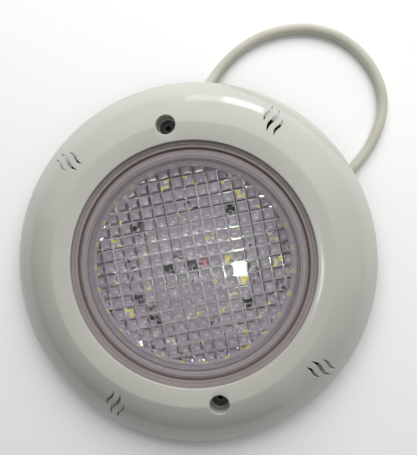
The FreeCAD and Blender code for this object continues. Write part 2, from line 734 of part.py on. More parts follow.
# ---------------------------------------------------------------- cord
def roundedPath(points):
    """Straight runs joined by tangent arcs as large as the shorter run beside each point allows."""
    points = [Vector(*point) for point in points]
    edges = []
    radii = []
    start = points[0]
    for before, corner, after in zip(points, points[1:], points[2:]):
        inward = (corner - before).normalize()
        outward = (after - corner).normalize()
        turn = inward.getAngle(outward)
        shorter = min((corner - before).Length, (after - corner).Length)
        reach = 0.45 * shorter
        radius = reach / math.tan(turn / 2)
        radii.append(radius)
        arcStart = corner - inward * reach
        arcEnd = corner + outward * reach
        bisector = (outward - inward).normalize()
        middle = corner + bisector * (radius / math.cos(turn / 2) - radius)
        edges.append(Part.LineSegment(start, arcStart).toShape())
        edges.append(Part.Arc(arcStart, middle, arcEnd).toShape())
        start = arcEnd
    edges.append(Part.LineSegment(start, points[-1]).toShape())
    return Part.Wire(edges), radii


def sweptRound(points, radius, word):
    """A round bar along a rounded path, with its volume checked against section times length."""
    path, radii = roundedPath(points)
    first = path.Edges[0]
    circle = Part.Circle(first.firstVertex().Point, first.tangentAt(first.FirstParameter), radius)
    solid = path.makePipeShell([Part.Wire(circle.toShape())], True, True)
    expected = math.pi * radius * radius * path.Length
    print("%s: length %.1f, volume share %.4f" % (word, path.Length, solid.Volume / expected))
    print("   radii", " ".join("%.0f" % value for value in radii))
    if solid.Volume < 0:
        solid.reverse()
    return solid, path.Length


# the cord's route from the gland, out from under the ring, round in a loop and back under the light;
# the last number is the share of the gland's own move that a point takes when the lamp grows or shrinks
cordRoute = [
    (26.57, 110.66, 19.0, 1),
    (28.9, 120.38, 19.0, 1),
    (33.6, 133.4, 10.6, 1),
    (43.0, 146.2, 5.0, 1),
    (58.6, 159.0, 4.0, 1),
    (77.3, 168.2, 4.0, 1),
    (98.0, 172.4, 4.0, 1),
    (121.4, 170.6, 4.0, 1),
    (141.2, 163.0, 4.0, 1),
    (157.6, 149.4, 4.0, 1),
    (168.9, 130.6, 4.0, 1),
    (174.0, 110.6, 4.0, 1),
    (172.2, 92.8, 4.0, 1),
    (165.4, 77.2, 4.0, 1),
    (154.2, 62.6, 4.0, 1),
    (140.0, 50.6, 4.0, 1),
    (120.0, 35.6, 4.0, 1),
    (100.4, 18.6, 4.0, 1),
    (83.0, 2.4, 4.0, 0.7),
    (67.2, -11.6, 4.0, 0.3),
    (50.8, -25.0, 4.0, 0),
]
coilCentre = Vector(2.8, -3.2, 0)
tailStart = 95.0
tailSweep = 172.0
tieTurn = 205.0


def cord():
    """The cord from the gland to its coil, the coil's outer form, and the tail that ends inside it."""
    radius = size("cordRadius")
    nutEnd = size("housingRadius + glandBossOut + glandWasher + glandHexLength + fitGap + glandNutLength")
    move = nutEnd - size("routeExit")
    lift = size("glandLevel") - cordRoute[0][2]
    route = []
    for x, y, z, share in cordRoute:
        stretch = 1 + share * move / math.hypot(x, y)
        level = z + lift if z == cordRoute[0][2] else z
        route.append((x * stretch, y * stretch, level))
    solid, length = sweptRound(route, radius, "supply cord")
    keep(plainPart("cordRun", solid), "supply_cord")

    section = 2 * radius
    coilInner = size("coilRadius") - section
    round_ = radius * 0.9
    block = Part.makeCylinder(coilInner + 2 * section, 2 * section).cut(Part.makeCylinder(coilInner, 2 * section))
    block = block.makeFillet(round_, [edge for edge in block.Edges if edge.Closed and isinstance(edge.Curve, Part.Circle)])
    thickness = size("tieThickness")
    width = size("tieWidth")
    outerBand = Part.makeBox(2 * section + 2 * thickness, width, 2 * section + thickness)
    outerBand.translate(Vector(coilInner - thickness, -width / 2, 0))
    bandEdges = [edge for edge in outerBand.Edges if abs(edge.tangentAt(edge.FirstParameter).y) > 0.9]
    outerBand = outerBand.makeFillet(round_, bandEdges)
    innerBand = Part.makeBox(2 * section, width + 2, 2 * section - thickness)
    innerBand.translate(Vector(coilInner, -width / 2 - 1, thickness))
    innerEdges = [edge for edge in innerBand.Edges if abs(edge.tangentAt(edge.FirstParameter).y) > 0.9]
    innerBand = innerBand.makeFillet(round_ - thickness, innerEdges)
    strap = outerBand.cut(innerBand)
    lockWidth, lockHeight, lockDepth = width + 1.6, 5.0, 3.6
    lock = Part.makeBox(lockDepth, lockWidth, lockHeight)
    lock.translate(Vector(coilInner + 2 * section + thickness * 0.5, -lockWidth / 2, section - lockHeight / 2))
    tie = strap.fuse(lock)
    spot = Placement(coilCentre, Rotation(Vector(0, 0, 1), tieTurn))
    keep(plainPart("cordCoil", block.cut(tie), spot), "supply_cord_coil")
    keep(plainPart("cordTie", tie, spot), "cord_tie")
    return length


def cordTail():
    """The last of the cord, turning tighter than the coil, with two bared cores and their ferrules."""
    radius = size("cordRadius")
    tailRadius = size("coilRadius") - 3 * radius
    turn = math.radians(tailStart)
    shift = size("coilRadius") - radius - tailRadius
    centre = coilCentre + Vector(math.cos(turn), math.sin(turn), 0) * shift + Vector(0, 0, radius)
    hidden = 88.0

    def onTail(degrees):
        angle = math.radians(tailStart - degrees)
        return centre + Vector(math.cos(angle), math.sin(angle), 0) * tailRadius

    path = Part.Wire(Part.Arc(onTail(hidden), onTail((hidden + tailSweep) / 2), onTail(tailSweep)).toShape())
    first = path.Edges[0]
    circle = Part.Circle(first.firstVertex().Point, first.tangentAt(first.FirstParameter), radius)
    solid = path.makePipeShell([Part.Wire(circle.toShape())], True, True)
    keep(plainPart("cordTail", solid), "supply_cord_tail")

    heading = math.radians(tailStart - tailSweep - 90)
    ahead = Vector(math.cos(heading), math.sin(heading), 0)
    aside = Vector(-math.sin(heading), math.cos(heading), 0)
    end = onTail(tailSweep)
    coreRadius = size("coreRadius")
    ferrules = []
    for label, side in (("core_brown", 1), ("core_blue", -1)):
        start = end + aside * side * (coreRadius + 0.15)
        length = size("coreLength")
        keep(plainPart(label + "Bar", Part.makeCylinder(coreRadius, length, start, ahead)), label)
        tip = start + ahead * length
        ferrules.append(Part.makeCylinder(size("ferruleRadius"), size("ferruleLength"), tip, ahead))
    keep(plainPart("ferrules", Part.makeCompound(ferrules)), "core_ferrules")


def boardLeads():
    """Red and black leads from the potted cord under the board, up its middle hole and over to their pads."""
    angle = math.radians(size("glandAngle"))
    reach = size("cavityRadius")
    under = size("bracketHeight + housingFloor") + 1.6
    top = size("boardTop")
    leadRadius = 0.8
    aside = Vector(-math.sin(angle), math.cos(angle), 0)
    out = Vector(math.cos(angle), math.sin(angle), 0)
    for label, side, pad in (("lead_red", -1, Vector(10.5, -1.5, 0)), ("lead_black", 1, Vector(-4.0, -9.5, 0))):
        start = out * reach + aside * side * 1.5 + Vector(0, 0, under)
        near = out * 12 + aside * side * 1.8 + Vector(0, 0, under)
        rise = Vector(side * -2.2, 0.8, under + 0.6)
        over = Vector(side * -2.6, -0.6, top + 2.4)
        down = Vector(pad.x * 0.7, pad.y * 0.7, top + 2.2)
        end = Vector(pad.x, pad.y, top + leadRadius)
        solid, length = sweptRound([start, near, rise, over, down, end], leadRadius, label)
        keep(plainPart(label + "Bar", solid), label)


def solderJoints():
    """Domes of solder on the lead pads."""
    domes = []
    for x, y in ((12.0, -1.8), (-4.6, -11.2), (11.5, 6.5), (-10.5, 8.5)):
        ball = Part.makeSphere(2.2, Vector(x, y, size("boardTop") - 0.7))
        upper = Part.makeBox(6, 6, 4, Vector(x - 3, y - 3, size("boardTop")))
        domes.append(ball.common(upper))
    keep(plainPart("solder", Part.makeCompound(domes)), "solder_joints")


wallBracket()
bracketInserts()
faceRing()
rearHousing()
heatSpreader()
ledBoard()
leds()
boardParts()
boardScrews()
lens()
lensSealant()
gland()
cord()
cordTail()
boardLeads()
solderJoints()
doc.recompute()

for thing in doc.Objects:
    if "Invalid" in thing.State or "Error" in thing.State:
        raise SystemExit("failed: %s %s" % (thing.Name, thing.State))
for thing in pieces:
    if thing.Shape.isNull() or not thing.Shape.isValid():
        raise SystemExit("no valid shape: " + thing.Label)

os.makedirs("parts", exist_ok=True)
for thing in pieces:
    thing.Shape.exportStep("parts/%s.step" % thing.Label)
    print("%-20s %3d solids %10.1f mm3" % (thing.Label, len(thing.Shape.Solids), thing.Shape.Volume))
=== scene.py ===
import math

import bmesh
import bpy
import numpy as np
from mathutils import Matrix, Vector


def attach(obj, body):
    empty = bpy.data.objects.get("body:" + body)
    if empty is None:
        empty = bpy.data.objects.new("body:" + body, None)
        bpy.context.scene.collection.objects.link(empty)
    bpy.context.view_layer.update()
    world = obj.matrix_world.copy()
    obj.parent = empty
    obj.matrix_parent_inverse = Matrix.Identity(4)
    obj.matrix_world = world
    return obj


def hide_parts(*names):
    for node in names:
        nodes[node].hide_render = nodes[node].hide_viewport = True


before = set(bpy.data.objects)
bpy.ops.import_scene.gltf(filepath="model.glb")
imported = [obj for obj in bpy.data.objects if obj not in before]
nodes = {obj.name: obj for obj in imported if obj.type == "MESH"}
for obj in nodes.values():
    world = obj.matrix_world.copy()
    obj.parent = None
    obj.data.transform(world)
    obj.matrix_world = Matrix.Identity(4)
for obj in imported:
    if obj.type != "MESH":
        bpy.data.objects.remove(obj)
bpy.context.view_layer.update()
scene = bpy.context.scene
scene.view_settings.view_transform = "Standard"
mm = 0.001

# camera, looking down on the lamp's face a little off its axis
cameraLook = {
    "place": (0.04129, 0.02586, 0.44362),
    "aim": (0.01585, 0.02533, 0.0185),
    "up": (0.1902, 0.98174, 0.0),
    "lens": 42.146,
    "sensor": 36.0,
    "nearest": 0.01,
    "farthest": 50,
}


def facing(place, aim, up):
    back = (Vector(place) - Vector(aim)).normalized()
    across = Vector(up).cross(back).normalized()
    over = back.cross(across)
    turn = Matrix((across, over, back)).transposed().to_4x4()
    return Matrix.Translation(Vector(place)) @ turn


camera = bpy.data.objects.new("camera", bpy.data.cameras.new("camera"))
scene.collection.objects.link(camera)
camera.data.lens = cameraLook["lens"]
camera.data.sensor_width = cameraLook["sensor"]
camera.data.clip_start = cameraLook["nearest"]
camera.data.clip_end = cameraLook["farthest"]
camera.matrix_world = facing(cameraLook["place"], cameraLook["aim"], cameraLook["up"])
scene.camera = camera
print("camera set")


# ---- materials
def paint(hexText):
    # sRGB hex to linear light
    parts = [int(hexText[i:i + 2], 16) / 255 for i in (0, 2, 4)]
    return tuple(p / 12.92 if p <= 0.04045 else ((p + 0.055) / 1.055) ** 2.4 for p in parts) + (1.0,)


def addNode(tree, kind, inputs=None, **settings):
    node = tree.nodes.new(kind)
    for word, value in settings.items():
        setattr(node, word, value)
    for word, value in (inputs or {}).items():
        if isinstance(value, bpy.types.NodeSocket):
            tree.links.new(value, node.inputs[word])
        else:
            node.inputs[word].default_value = value
    return node


def blendColours(tree, share, first, second):
    return addNode(tree, "ShaderNodeMix", {0: share, 6: first, 7: second}, data_type="RGBA").outputs[2]


def remap(tree, value, low, high, newLow, newHigh):
    inputs = {"Value": value, "From Min": low, "From Max": high, "To Min": newLow, "To Max": newHigh}
    return addNode(tree, "ShaderNodeMapRange", inputs).outputs["Result"]


def noise(tree, place, size, detail=3.0, rough=0.55):
    # size is the pattern's own size in millimetres
    inputs = {"Vector": place, "Scale": 1 / (size * mm), "Detail": detail, "Roughness": rough}
    return addNode(tree, "ShaderNodeTexNoise", inputs).outputs["Fac"]


# a band's edges fade over this many millimetres
bandEdge = 0.3


def band(tree, place, inner, outer, share):
    # share between two radii about the light's axis, nothing elsewhere
    flat = addNode(tree, "ShaderNodeVectorMath", {0: place, 1: (1.0, 1.0, 0.0)}, operation="MULTIPLY").outputs[0]
    radius = addNode(tree, "ShaderNodeVectorMath", {0: flat}, operation="LENGTH").outputs["Value"]
    rise = remap(tree, radius, inner * mm, (inner + bandEdge) * mm, 0.0, share)
    fall = remap(tree, radius, (outer - bandEdge) * mm, outer * mm, 1.0, 0.0)
    return addNode(tree, "ShaderNodeMath", {0: rise, 1: fall}, operation="MULTIPLY").outputs[0]


def hazed(tree, place, shader, look):
    # milky bands between two radii, as left by the mould's blasted rings
    for inner, outer, share, colour in look["haze"]:
        milk = addNode(tree, "ShaderNodeBsdfDiffuse", {"Color": paint(colour)}).outputs[0]
        where = band(tree, place, inner, outer, share)
        shader = addNode(tree, "ShaderNodeMixShader", {0: where, 1: shader, 2: milk}).outputs[0]
    return shader


# shares of a noise's range that are stretched to the full change, and what every finish has in common
finish = {
    "cloudRange": (0.35, 0.65),
    "speckDetail": 2.0,
    "speckFrom": 0.68,
    "speckEdge": 0.06,
    "grainDetail": 4.0,
    "glossSize": 0.3,
    "glossDetail": 5.0,
    "glossRough": 0.7,
    "glossRange": (0.3, 0.7),
    "bump": 0.6,
    "ior": 1.5,
}


def surface(name, look):
    # colours vary in wide clouds, specks lie on top, a fine grain makes the bump and the gloss
    made = bpy.data.materials.new(name)
    made.use_nodes = True
    tree = made.node_tree
    tree.nodes.clear()
    place = addNode(tree, "ShaderNodeTexCoord").outputs["Object"]
    if "stretch" in look:
        place = addNode(tree, "ShaderNodeMapping", {"Vector": place, "Scale": look["stretch"]}).outputs["Vector"]
    cloud = remap(tree, noise(tree, place, look["cloud"]), *finish["cloudRange"], 0.0, 1.0)
    colour = blendColours(tree, cloud, paint(look["colours"][0]), paint(look["colours"][1]))
    if "speck" in look:
        dots = noise(tree, place, look["speckSize"], finish["speckDetail"])
        first = look.get("speckFrom", finish["speckFrom"])
        dots = remap(tree, dots, first, first + finish["speckEdge"], 0.0, look["speckShare"])
        colour = blendColours(tree, dots, colour, paint(look["speck"]))
    if "pattern" in look:
        colour = look["pattern"](tree, place, colour)
    grain = noise(tree, place, look["grain"], finish["grainDetail"])
    gloss = noise(tree, place, look["cloud"] * finish["glossSize"], finish["glossDetail"], finish["glossRough"])
    gloss = remap(tree, gloss, *finish["glossRange"], *look["rough"])
    inputs = {"Strength": finish["bump"], "Distance": look["depth"] * mm, "Height": grain}
    bump = addNode(tree, "ShaderNodeBump", inputs)
    inputs = {"Base Color": colour, "Roughness": gloss, "Normal": bump.outputs["Normal"]}
    inputs["Metallic"] = look.get("metal", 0.0)
    inputs["IOR"] = look.get("ior", finish["ior"])
    inputs["Subsurface Weight"] = look.get("soft", 0.0)
    inputs["Subsurface Scale"] = look.get("softDepth", 1.0) * mm
    inputs["Transmission Weight"] = look.get("clear", 0.0)
    shader = addNode(tree, "ShaderNodeBsdfPrincipled", inputs).outputs[0]
    if look.get("clear"):
        # shadows pass through clear plastic
        rays = addNode(tree, "ShaderNodeLightPath").outputs["Is Shadow Ray"]
        passing = addNode(tree, "ShaderNodeBsdfTransparent", {"Color": paint(look["shadow"])}).outputs[0]
        milky = hazed(tree, place, shader, look)
        shader = addNode(tree, "ShaderNodeMixShader", {0: rays, 1: milky, 2: passing}).outputs[0]
    addNode(tree, "ShaderNodeOutputMaterial", {"Surface": shader})
    return made


# ---- shapes, in millimetres until the mesh is made
meshCare = {
    "weld": 0.003,
    "sliver": 0.001,
    "flatAngle": 1.0,
    "easeSteps": 2,
    "easeAngle": 35,
}


def solidFrom(name, points, faces):
    data = bpy.data.meshes.new(name)
    places = (np.asarray(points, float).reshape(-1, 3) * mm).tolist()
    data.from_pydata(places, [], [list(map(int, face)) for face in faces])
    piece = bpy.data.objects.new(name, data)
    scene.collection.objects.link(piece)
    return clean(piece)


def clean(piece, flat=False):
    # merges doubles, closes poles and turns every face outwards
    work = bmesh.new()
    work.from_mesh(piece.data)
    bmesh.ops.remove_doubles(work, verts=work.verts, dist=meshCare["weld"] * mm)
    bmesh.ops.dissolve_degenerate(work, edges=work.edges, dist=meshCare["sliver"] * mm)
    if flat:
        limit = math.radians(meshCare["flatAngle"])
        bmesh.ops.dissolve_limit(work, angle_limit=limit, verts=work.verts, edges=work.edges)
    bmesh.ops.recalc_face_normals(work, faces=work.faces)
    work.to_mesh(piece.data)
    work.free()
    return piece


def gridFaces(rows, columns, closeRows, closeColumns):
    # quads between neighbouring rows and columns of points
    lastRow, lastColumn = rows if closeRows else rows - 1, columns if closeColumns else columns - 1
    i, j = np.meshgrid(np.arange(lastRow), np.arange(lastColumn), indexing="ij")
    nextI, nextJ = (i + 1) % rows, (j + 1) % columns
    quads = [i * columns + j, nextI * columns + j, nextI * columns + nextJ, i * columns + nextJ]
    return np.stack(quads, -1).reshape(-1, 4)


def lathe(name, profile, steps=240):
    # each profile point goes round the vertical axis: x = r cos a, y = r sin a
    radius, height = np.array(profile, float).T
    turn = np.arange(steps) * 2 * np.pi / steps
    x, y = np.outer(np.cos(turn), radius), np.outer(np.sin(turn), radius)
    points = np.stack([x, y, np.outer(np.ones(steps), height)], -1)
    return solidFrom(name, points, gridFaces(steps, len(radius), True, True))


def arc(centre, radius, start, end, steps):
    turn = np.radians(np.linspace(start, end, steps))
    return [(centre[0] + radius * math.cos(t), centre[1] + radius * math.sin(t)) for t in turn]


def corner(point, round_, start, end):
    # a small quarter round whose centre is given
    return arc(point, round_, start, end, 4)


def joined(name, parts):
    points, faces, base = [], [], 0
    for part in parts:
        count = len(part.data.vertices)
        co = np.zeros(count * 3)
        part.data.vertices.foreach_get("co", co)
        points.append(co.reshape(-1, 3) / mm)
        faces += [[v + base for v in face.vertices] for face in part.data.polygons]
        base += count
        bpy.data.objects.remove(part)
    return solidFrom(name, np.concatenate(points), faces)


def combine(piece, tool, operation):
    step = piece.modifiers.new("step", "BOOLEAN")
    step.operation = operation
    step.object = tool
    step.solver = "MANIFOLD"
    fresh = bpy.data.meshes.new_from_object(piece.evaluated_get(bpy.context.evaluated_depsgraph_get()))
    piece.modifiers.clear()
    piece.data = fresh
    bpy.data.objects.remove(tool)
    return piece


def dress(piece, body, stands, material, sharp=32):
    piece.data.materials.clear()
    piece.data.materials.append(material)
    piece.data.shade_smooth()
    piece.data.set_sharp_from_angle(angle=math.radians(sharp))
    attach(piece, body)
    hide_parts(*stands)
    return piece


def smoothCopy(node, body, look, bevel=0.0):
    # the CAD node's own shape with merged points, eased edges and its finish
    data = nodes[node].data.copy()
    piece = bpy.data.objects.new(node + "_finished", data)
    scene.collection.objects.link(piece)
    clean(piece, flat=bevel > 0)
    if bevel:
        step = piece.modifiers.new("ease", "BEVEL")
        step.width = bevel * mm
        step.segments = meshCare["easeSteps"]
        step.limit_method = "ANGLE"
        step.angle_limit = math.radians(meshCare["easeAngle"])
        step.use_clamp_overlap = True
        fresh = bpy.data.meshes.new_from_object(piece.evaluated_get(bpy.context.evaluated_depsgraph_get()))
        piece.modifiers.clear()
        piece.data = fresh
    return dress(piece, body, [node], surface(look["name"], look))


# ---- supply cord: along its route, round in a loop and into a coil behind the lamp
cordLook = {
    "name": "PVC cord jacket, extruded",
    "colours": ("c3c1b4", "b9b7a9"),
    "cloud": 38.0,
    "speck": "8f8c7e",
    "speckSize": 1.6,
    "speckShare": 0.25,
    "grain": 0.35,
    "depth": 0.02,
    "rough": (0.38, 0.5),
    "diameter": 8.0,
    "length": 1.497,
    "route": [
        (26.57, 110.66, 19.0), (28.9, 120.38, 19.0), (33.6, 133.4, 10.6), (43.0, 146.2, 5.0), (58.6, 159.0, 4.0),
        (77.3, 168.2, 4.0), (98.0, 172.4, 4.0), (121.4, 170.6, 4.0), (141.2, 163.0, 4.0), (157.6, 149.4, 4.0),
        (168.9, 130.6, 4.0), (174.0, 110.6, 4.0), (172.2, 92.8, 4.0), (165.4, 77.2, 4.0), (154.2, 62.6, 4.0),
        (140.0, 50.6, 4.0), (120.0, 35.6, 4.0), (100.4, 18.6, 4.0), (83.0, 2.4, 4.0),
        (67.2, -11.6, 4.0), (50.8, -25.0, 4.0),
    ],
    "coilCentre": (2.8, -3.2),
    "coilStart": -49.0,
    "coilStep": 12.0,
    # sweep in degrees, radius and height: two turns outside, two inside, then the tail
    "coilKeys": [
        (0, 48, 4), (276, 48, 4), (331, 48, 12), (596, 48, 12), (651, 40, 12), (925, 40, 12),
        (983, 40, 4), (1241, 40, 4), (1296, 32, 4), (1366, 32, 4),
    ],
    "tailTurn": 95.0,
    "tailRadius": 32.0,
    "tailSweep": (102, 114, 126, 138, 150, 161, 172),
    "tailShift": 8.0,
    "tailHeight": 4.0,
}


def coilPoints(look):
    # radius and height ease from one key to the next as the cord goes clockwise round the coil
    keys = np.array(look["coilKeys"], float)
    sweep = np.arange(look["coilStep"] / 2, keys[-1, 0], look["coilStep"])
    spot = np.clip(np.searchsorted(keys[:, 0], sweep, side="right") - 1, 0, len(keys) - 2)
    share = (sweep - keys[spot, 0]) / (keys[spot + 1, 0] - keys[spot, 0])
    share = share * share * (3 - 2 * share)
    radius = keys[spot, 1] + (keys[spot + 1, 1] - keys[spot, 1]) * share
    height = keys[spot, 2] + (keys[spot + 1, 2] - keys[spot, 2]) * share
    turn = np.radians(look["coilStart"] - sweep)
    radius = radius / math.cos(math.radians(look["coilStep"] / 2))
    centreX, centreY = look["coilCentre"]
    return np.stack([centreX + radius * np.cos(turn), centreY + radius * np.sin(turn), height], -1)


def tailPoints(look):
    # the tail turns inside the coil about a centre that is shifted towards the coil's rim
    shift = math.radians(look["tailTurn"])
    turn = np.radians(look["tailTurn"] - np.array(look["tailSweep"], float))
    x = look["coilCentre"][0] + look["tailShift"] * math.cos(shift) + look["tailRadius"] * np.cos(turn)
    y = look["coilCentre"][1] + look["tailShift"] * math.sin(shift) + look["tailRadius"] * np.sin(turn)
    return np.stack([x, y, np.full(len(turn), look["tailHeight"])], -1)


def supplyCord(look):
    points = np.concatenate([np.array(look["route"]), coilPoints(look), tailPoints(look)]) * mm
    data = bpy.data.curves.new("supplyCordJacket", "CURVE")
    data.dimensions = "3D"
    line = data.splines.new("NURBS")
    line.points.add(len(points) - 1)
    line.points.foreach_set("co", np.concatenate([points, np.ones((len(points), 1))], 1).ravel())
    line.order_u = 3
    line.use_endpoint_u = True
    line.resolution_u = 5
    data.bevel_depth = look["diameter"] / 2 * mm
    data.bevel_resolution = 6
    data.use_fill_caps = True
    data.materials.append(surface(look["name"], look))
    piece = bpy.data.objects.new("supplyCordJacket", data)
    scene.collection.objects.link(piece)
    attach(piece, "lamp")
    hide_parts("supply_cord", "supply_cord_coil", "supply_cord_tail")
    return piece


cordPiece = supplyCord(cordLook)
brownLook = {
    "name": "PVC core sheath, brown, extruded",
    "colours": ("6a3d22", "5d3319"),
    "cloud": 5.0,
    "grain": 0.2,
    "depth": 0.01,
    "rough": (0.35, 0.5),
}
blueLook = {
    "name": "PVC core sheath, blue, extruded",
    "colours": ("2c62a8", "24559a"),
    "cloud": 5.0,
    "grain": 0.2,
    "depth": 0.01,
    "rough": (0.35, 0.5),
}
ferruleLook = {
    "name": "tinned copper ferrule, drawn",
    "colours": ("c9c8c4", "b4b2ad"),
    "cloud": 3.0,
    "grain": 0.15,
    "depth": 0.01,
    "rough": (0.22, 0.38),
    "metal": 1.0,
}
tieLook = {
    "name": "nylon cable tie, injection-moulded",
    "colours": ("2a2a2b", "222223"),
    "cloud": 6.0,
    "grain": 0.3,
    "depth": 0.02,
    "rough": (0.38, 0.52),
}
cordEnds = [
    smoothCopy("core_brown", "lamp", brownLook, 0.08),
    smoothCopy("core_blue", "lamp", blueLook, 0.08),
    smoothCopy("core_ferrules", "lamp", ferruleLook, 0.08),
    smoothCopy("cord_tie", "lamp", tieLook),
]
print("cord made")

# ---- face ring: domed shell with a flat land, ribs, two screw wells and twelve vent slots
ringLook = {
    "name": "white ABS, injection-moulded",
    "colours": ("bdbcb4", "b8b7af"),
    "cloud": 70.0,
    "speck": "8d8c82",
    "speckSize": 2.4,
    "speckShare": 0.12,
    "grain": 0.9,
    "depth": 0.004,
    "rough": (0.07, 0.13),
    "ior": 1.53,
    "outer": 145.0,
    "draft": 1.0,
    "foot": 13.5,
    "shoulder": 18.5,
    "crease": 108.0,
    "land": 44.0,
    "opening": 94.0,
    "lipFoot": 41.0,
    "domeRadius": 66.0,
    "wall": 3.0,
    "wellRadius": 7.5,
    "wellWall": 2.0,
    "wellHole": 6.4,
    "wellLedge": 27.0,
    "wellFoot": 24.3,
    "ribHalf": 1.2,
    "ribStart": 110.0,
    "ribTurns": (0, 30, 60, 120, 150, 180, 210, 240, 300, 330),
    "slotCircle": 125.6,
    "slotDrift": 3.2,
    "slotStep": 6.0,
    "slotTurns": (50, 130, 230, 310),
    "slotSizes": {-1: (14.5, 2.1), 0: (21.0, 2.8), 1: (14.5, 2.1)},
    "slotSway": 0.058,
    "slotTip": 0.1,
    # how much the slot's outline widens at each level, for its eased upper edge
    "slotFlares": (0, 0, 0.06, 0.2, 0.4, 0.4),
}
# the dome's arc through the shoulder and the crease
shoulderX = ringLook["outer"] - ringLook["draft"]
run, drop = shoulderX - ringLook["crease"], ringLook["land"] - ringLook["shoulder"]
lean = math.degrees(math.atan2(drop, run))
spread = math.degrees(math.asin(math.hypot(run, drop) / 2 / ringLook["domeRadius"]))
domeFirst, domeLast = 90 - lean + spread, 90 - lean - spread
domeCentre = (
    ringLook["crease"] - ringLook["domeRadius"] * math.cos(math.radians(domeFirst)),
    ringLook["land"] - ringLook["domeRadius"] * math.sin(math.radians(domeFirst)),
)


def domeTop(x, y):
    # height of the ring's outer face over a point: flat land, then the dome's arc
    out = np.clip(np.hypot(x, y), 0, ringLook["outer"] - 0.2)
    reach = np.maximum(out, ringLook["crease"]) - domeCentre[0]
    dome = domeCentre[1] + np.sqrt(ringLook["domeRadius"] ** 2 - reach ** 2)
    return np.where(out > ringLook["crease"], dome, ringLook["land"])


def stack(name, outlines, levels):
    # outlines is levels x points x 2; a level is (height, share of the dome's height that is added)
    plan = np.array(outlines, float)
    height = np.array([[low + share * domeTop(x, y) for x, y in ring] for ring, (low, share) in zip(plan, levels)])
    points = np.concatenate([plan, height[..., None]], -1)
    count = plan.shape[1]
    faces = gridFaces(len(levels), count, False, True).tolist()
    faces += [list(range(count)), list(range((len(levels) - 1) * count, len(levels) * count))]
    return solidFrom(name, points, faces)


def drum(name, centre, levels, steps=64):
    # rings about an upright line; a level is (radius, height, share of the dome's height)
    turn = np.arange(steps) * 2 * np.pi / steps
    unit = np.stack([np.cos(turn), np.sin(turn)], -1)
    outlines = [np.array(centre) + unit * radius for radius, low, share in levels]
    return stack(name, outlines, [(low, share) for radius, low, share in levels])


def slotTool(look, turn, index):
    # a pointed S: its middle line is a sine and its width falls to the tip at both ends
    length, width = look["slotSizes"][index]
    along = length * (np.linspace(0, 1, 17) - 0.5)
    middle = look["slotSway"] * length * np.sin(2 * np.pi * (along + length / 2) / length)
    half = np.maximum(width / 2 * (1 - (2 * along / length) ** 2), look["slotTip"])
    levels = [(0, 0), (-0.7, 1), (-0.3, 1), (-0.08, 1), (0.05, 1), (3, 1)]
    outlines = []
    angle = math.radians(turn)
    for flare in look["slotFlares"]:
        stretch = 1 + 2 * flare / length
        x = np.concatenate([along * stretch, along[::-1] * stretch]) + look["slotCircle"] + look["slotDrift"] * index
        y = np.concatenate([middle + half + flare, (middle - half - flare)[::-1]]) + look["slotStep"] * index
        turnedX, turnedY = x * math.cos(angle) - y * math.sin(angle), x * math.sin(angle) + y * math.cos(angle)
        outlines.append(np.stack([turnedX, turnedY], -1))
    return stack("slot", outlines, levels)


def ribBlank(look, turn):
    # a plate on a radius whose top lies in the middle of the dome's wall
    middle = look["domeRadius"] - look["wall"] / 2
    low = math.degrees(math.asin((look["shoulder"] - domeCentre[1]) / middle))
    high = math.degrees(math.acos((look["ribStart"] - domeCentre[0]) / middle))
    side = [(look["ribStart"], look["shoulder"])] + arc(domeCentre, middle, low, high, 12)
    angle = math.radians(turn)
    points = [
        (r * math.cos(angle) - t * math.sin(angle), r * math.sin(angle) + t * math.cos(angle), z)
        for t in (-look["ribHalf"], look["ribHalf"]) for r, z in side
    ]
    count = len(side)
    faces = gridFaces(2, count, False, True).tolist() + [list(range(count)), list(range(count, 2 * count))]
    return solidFrom("rib", points, faces)


def faceRing(look):
    inner = look["domeRadius"] - look["wall"]
    skirtIn = look["outer"] - look["wall"] * math.cos(math.radians(domeLast))
    profile = [(skirtIn, look["foot"])]
    profile += corner((look["outer"] - 0.5, look["foot"] + 0.5), 0.5, -90, 0)
    profile += arc(domeCentre, look["domeRadius"], domeLast, domeFirst - 0.4, 44)
    profile += [(look["crease"] - 0.1, look["land"] - 0.02), (look["crease"] - 0.5, look["land"])]
    profile += corner((look["opening"] + 1.0, look["land"] - 1.0), 1.0, 90, 180)
    profile += corner((look["opening"] + 0.4, look["lipFoot"] + 0.4), 0.4, 180, 270)
    profile += arc(domeCentre, inner, domeFirst, domeLast, 24)
    ring = lathe("faceRingShell", profile, 360)
    adds = [ribBlank(look, turn) for turn in look["ribTurns"]]
    cuts = [slotTool(look, turn, index) for turn in look["slotTurns"] for index in (-1, 0, 1)]
    tube = look["wellRadius"] + look["wellWall"]
    bore, hole, ledge = look["wellRadius"], look["wellHole"], look["wellLedge"]
    # a well's tube ends in the middle of the dome's wall
    sunk = -1.6
    for side in (1, -1):
        centre = (0, side * look["crease"])
        adds.append(drum("wellTube", centre, [
            (tube, look["wellFoot"], 0), (tube, sunk, 1), (tube * 0.6, sunk, 1), (0.5, sunk, 1),
        ]))
        cuts.append(drum("wellBore", centre, [
            (hole, 5, 0), (hole, ledge - 0.3, 0), (hole + 0.3, ledge, 0), (bore, ledge, 0), (bore, -0.9, 1),
            (bore + 0.12, -0.45, 1), (bore + 0.4, -0.12, 1), (bore + 0.8, 0.03, 1), (bore + 0.8, 3, 1),
        ]))
    combine(ring, joined("adds", adds), "UNION")
    combine(ring, joined("cuts", cuts), "DIFFERENCE")
    clean(ring)
    return dress(ring, "ring", ["face_ring"], surface(look["name"], look), 24)


faceRing(ringLook)
print("face ring made")

